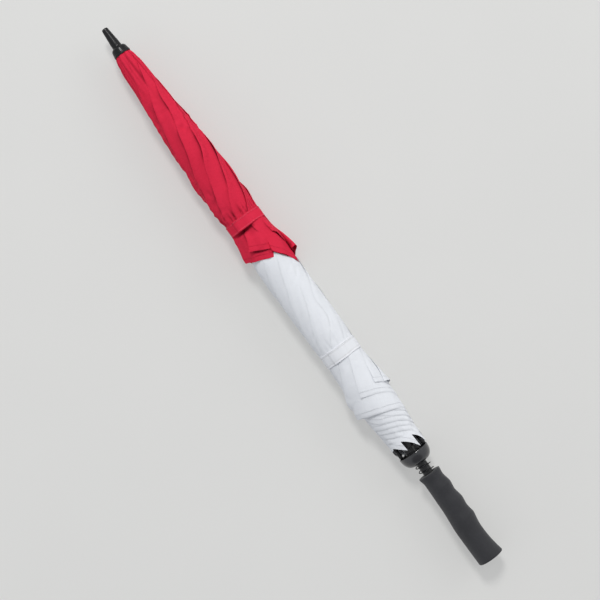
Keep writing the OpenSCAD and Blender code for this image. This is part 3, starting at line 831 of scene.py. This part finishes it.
def spring(name):
    """The cup's open coil: a round wire along a helix, with both ends turned square to what they meet."""
    turns, coil, from_s, to_s, thick = 2.0, 11.8, 771.0, 792.0, 0.75
    tail, tail_share = 2.2, 0.03
    t = np.linspace(0, 1, 220)
    wound = np.clip((t - tail_share) / (1 - 2 * tail_share), 0, 1)
    tails = np.clip(t / tail_share, 0, 1) + np.clip((t - 1 + tail_share) / tail_share, 0, 1)
    s = from_s + tail * tails + (to_s - from_s - 2 * tail) * wound
    turn = TURN * turns * wound
    path = on_shaft(s, coil, turn)
    ahead = np.gradient(path, axis=0)
    ahead /= np.linalg.norm(ahead, axis=1)[:, None]
    outward = on_shaft(0 * s, 1.0, turn) - on_shaft(0 * s, 0.0, turn)
    outward -= (outward * ahead).sum(1)[:, None] * ahead
    outward /= np.linalg.norm(outward, axis=1)[:, None]
    beside = np.cross(ahead, outward)
    ring = np.linspace(0, TURN, 14, endpoint=False)[None, :, None]
    points = path[:, None] + thick * MM * (np.cos(ring) * outward[:, None] + np.sin(ring) * beside[:, None])
    made = piece(name, points, None, "shaft", "bright_wire", dark_wire, wrap=True, caps=True)
    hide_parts("cup_spring")
    on_shaft(to_s, 0.0, 0.0)
    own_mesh(made)


spring("cup_coil")

GRIP_S, GRIP_LEN, GRIP_BORE = 792.0, 160.0, 8.3


def grip_profile(z):
    """Distance of the grip's back and front from the shaft, z millimetres from its top: a back that swells
    to the heel, and a front of three finger ridges, a long hollow and a flared heel."""
    back = curve(z, [(0, 18.4), (3, 17.9), (9, 16.4), (22, 16.2), (45, 16.9), (60, 17.2), (78, 18.6),
                     (94, 20.0), (120, 20.3), (GRIP_LEN, 20.2)])
    front = curve(z, [(0, 18.6), (4, 18.2), (13, 17.3), (20, 18.6), (27, 19.9), (34, 19.2), (41, 18.3),
                      (49, 19.4), (57, 20.7), (65, 20.0), (72, 19.2), (80, 20.1), (87, 21.0), (94, 19.9),
                      (104, 18.2), (118, 17.6), (132, 18.2), (146, 19.9), (GRIP_LEN, 22.4)])
    return back, front


def grip(name):
    """Sections between the back and the front, each an ellipse slightly flatter than round. At both ends
    an inset draws them in, for the rims and then for the flat ends, down to the bore at the top."""
    rows, sides_round, flatness = 130, 120, 0.96
    top_rim = [(0.0, 8.4), (0.0, 0.9), (0.2, 0.35), (0.5, 0.1), (1.0, 0.0)]
    end_rim = [(158.6, 0.15), (159.3, 0.5), (159.8, 1.0), (GRIP_LEN, 1.7), (GRIP_LEN, 12.0)]
    sides = np.stack([np.linspace(3, 157.6, rows), np.zeros(rows)], -1)
    z, inset = np.concatenate([top_rim, sides, end_rim]).T
    back, front = grip_profile(z)
    around = np.linspace(0, TURN, sides_round, endpoint=False)[None, :]
    half = ((back + front) / 2 - inset)[:, None]
    middle = ((back - front) / 2 * np.where(inset > 5, 0.5, 1.0))[:, None]
    down, left = half * flatness * np.cos(around), middle + half * np.sin(around)
    down[0], left[0] = GRIP_BORE * np.cos(around[0]), GRIP_BORE * np.sin(around[0])
    points = np.stack(np.broadcast_arrays(CROWN_X - GRIP_S - z[:, None], left, AXIS_Z - down), -1) * MM
    made = piece(name, points, None, "shaft", "grip_rubber", grip_foam, wrap=True, caps=True)
    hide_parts("grip")


grip("grip_sleeve")


# Table

def table_finish():
    """A pale matt top with a faint cloud and fleck. Where the camera sees it, straight or by a mirror or
    glass, part of it is an even glow, so the shading across the table stays slight."""
    look = Finish("table_top", Roughness=0.85, Specular_IOR_Level=0.2)
    patch = look.noise(look.where(), 3.0, 3.0)
    fleck = look.noise(look.where(), 260.0, 2.0)
    look.set(Base_Color=look.mix((patch * 0.7 + fleck * 0.3).clip(), (0.65, 0.65, 0.64), (0.72, 0.72, 0.705)))
    path = look.add("LightPath", {}, {}).socket.node
    seen = sum(Value(look, path.outputs[f"Is {ray} Ray"]) for ray in ("Camera", "Glossy", "Transmission"))
    glow = look.add("Emission", {}, {"Color": (0.70, 0.70, 0.69), "Strength": 1.0})
    surface = look.add("MixShader", {}, {0: seen * 0.45, 1: Value(look, look.shader.outputs[0]), 2: glow})
    look.feed(look.tree.nodes["Material Output"].inputs["Surface"], surface)
    return look.material


def slab(name, size, finish):
    """A wide plain table top at the ground's height."""
    edge = np.linspace(-size, size, 3)
    x, y = np.meshgrid(edge, edge, indexing="ij")
    made = piece(name, np.stack([x, y, 0 * x], -1), None, None, None, finish)


slab("table", 4.0, table_finish())


# Light and camera

def aim(thing, place, target, up):
    """Turns a lamp or camera so that its own -Z runs from its place to the target, and its Y is nearest
    to up."""
    back = np.array(place, float) - np.array(target, float)
    back /= np.linalg.norm(back)
    right = np.cross(up, back)
    right /= np.linalg.norm(right)
    turned = np.eye(4)
    turned[:3] = np.stack([right, np.cross(back, right), back, place], -1)
    thing.matrix_world = turned.T.tolist()


def lamp(name, place, size, watts, tint):
    """A round lamp that faces the middle of the table."""
    light = bpy.data.lights.new(name, "AREA")
    light.shape = "DISK"
    light.size = size
    light.energy = watts
    light.color = tint
    made = bpy.data.objects.new(name, light)
    bpy.context.scene.collection.objects.link(made)
    aim(made, place, (0, 0, 0), (0, 0, 1))


lamp("window", (3.0, -1.3, 4.4), size=1.3, watts=147.0, tint=(1.0, 0.99, 0.97))
lamp("right_fill", (0.3, -3.6, 2.0), size=2.0, watts=26.0, tint=(1.0, 0.99, 0.97))
lamp("left_fill", (0.3, 3.6, 2.0), size=2.0, watts=7.0, tint=(0.97, 0.98, 1.0))


def room():
    """A bright even room with one darker patch of wall, which glossy parts mirror: the share of the dark
    rises smoothly towards one direction."""
    world = bpy.data.worlds.new("room")
    world.use_nodes = True
    nodes = Nodes(world.node_tree)
    x, y, z = nodes.split(nodes.add("TexCoord", {}, {}, "Generated"))
    far_wall = nodes.band(x * -0.75 + y * 0.1 + z * 0.65, 0.72, 0.92)
    sky = world.node_tree.nodes["Background"]
    nodes.feed(sky.inputs["Color"], nodes.mix(far_wall, (0.95, 0.97, 1.0), (0.27, 0.27, 0.28)))
    nodes.feed(sky.inputs["Strength"], 0.64)
    return world


bpy.context.scene.world = room()
bpy.context.scene.view_settings.view_transform = "Standard"

CAMERA_HEIGHT, FIELD_WIDTH, SENSOR = 2.5, 0.916, 36.0
PICTURE_UP = np.array([0.80734, -0.59009, 0.0])
PICTURE_MIDDLE = np.array([-0.0105, 0.0028, 0.0])
lens = bpy.data.cameras.new("camera")
lens.sensor_width = SENSOR
lens.lens = SENSOR * (CAMERA_HEIGHT - AXIS_Z * MM) / FIELD_WIDTH
camera = bpy.data.objects.new("camera", lens)
bpy.context.scene.collection.objects.link(camera)
aim(camera, PICTURE_MIDDLE + np.array([0, 0, CAMERA_HEIGHT]), PICTURE_MIDDLE, PICTURE_UP)
bpy.context.scene.camera = camera
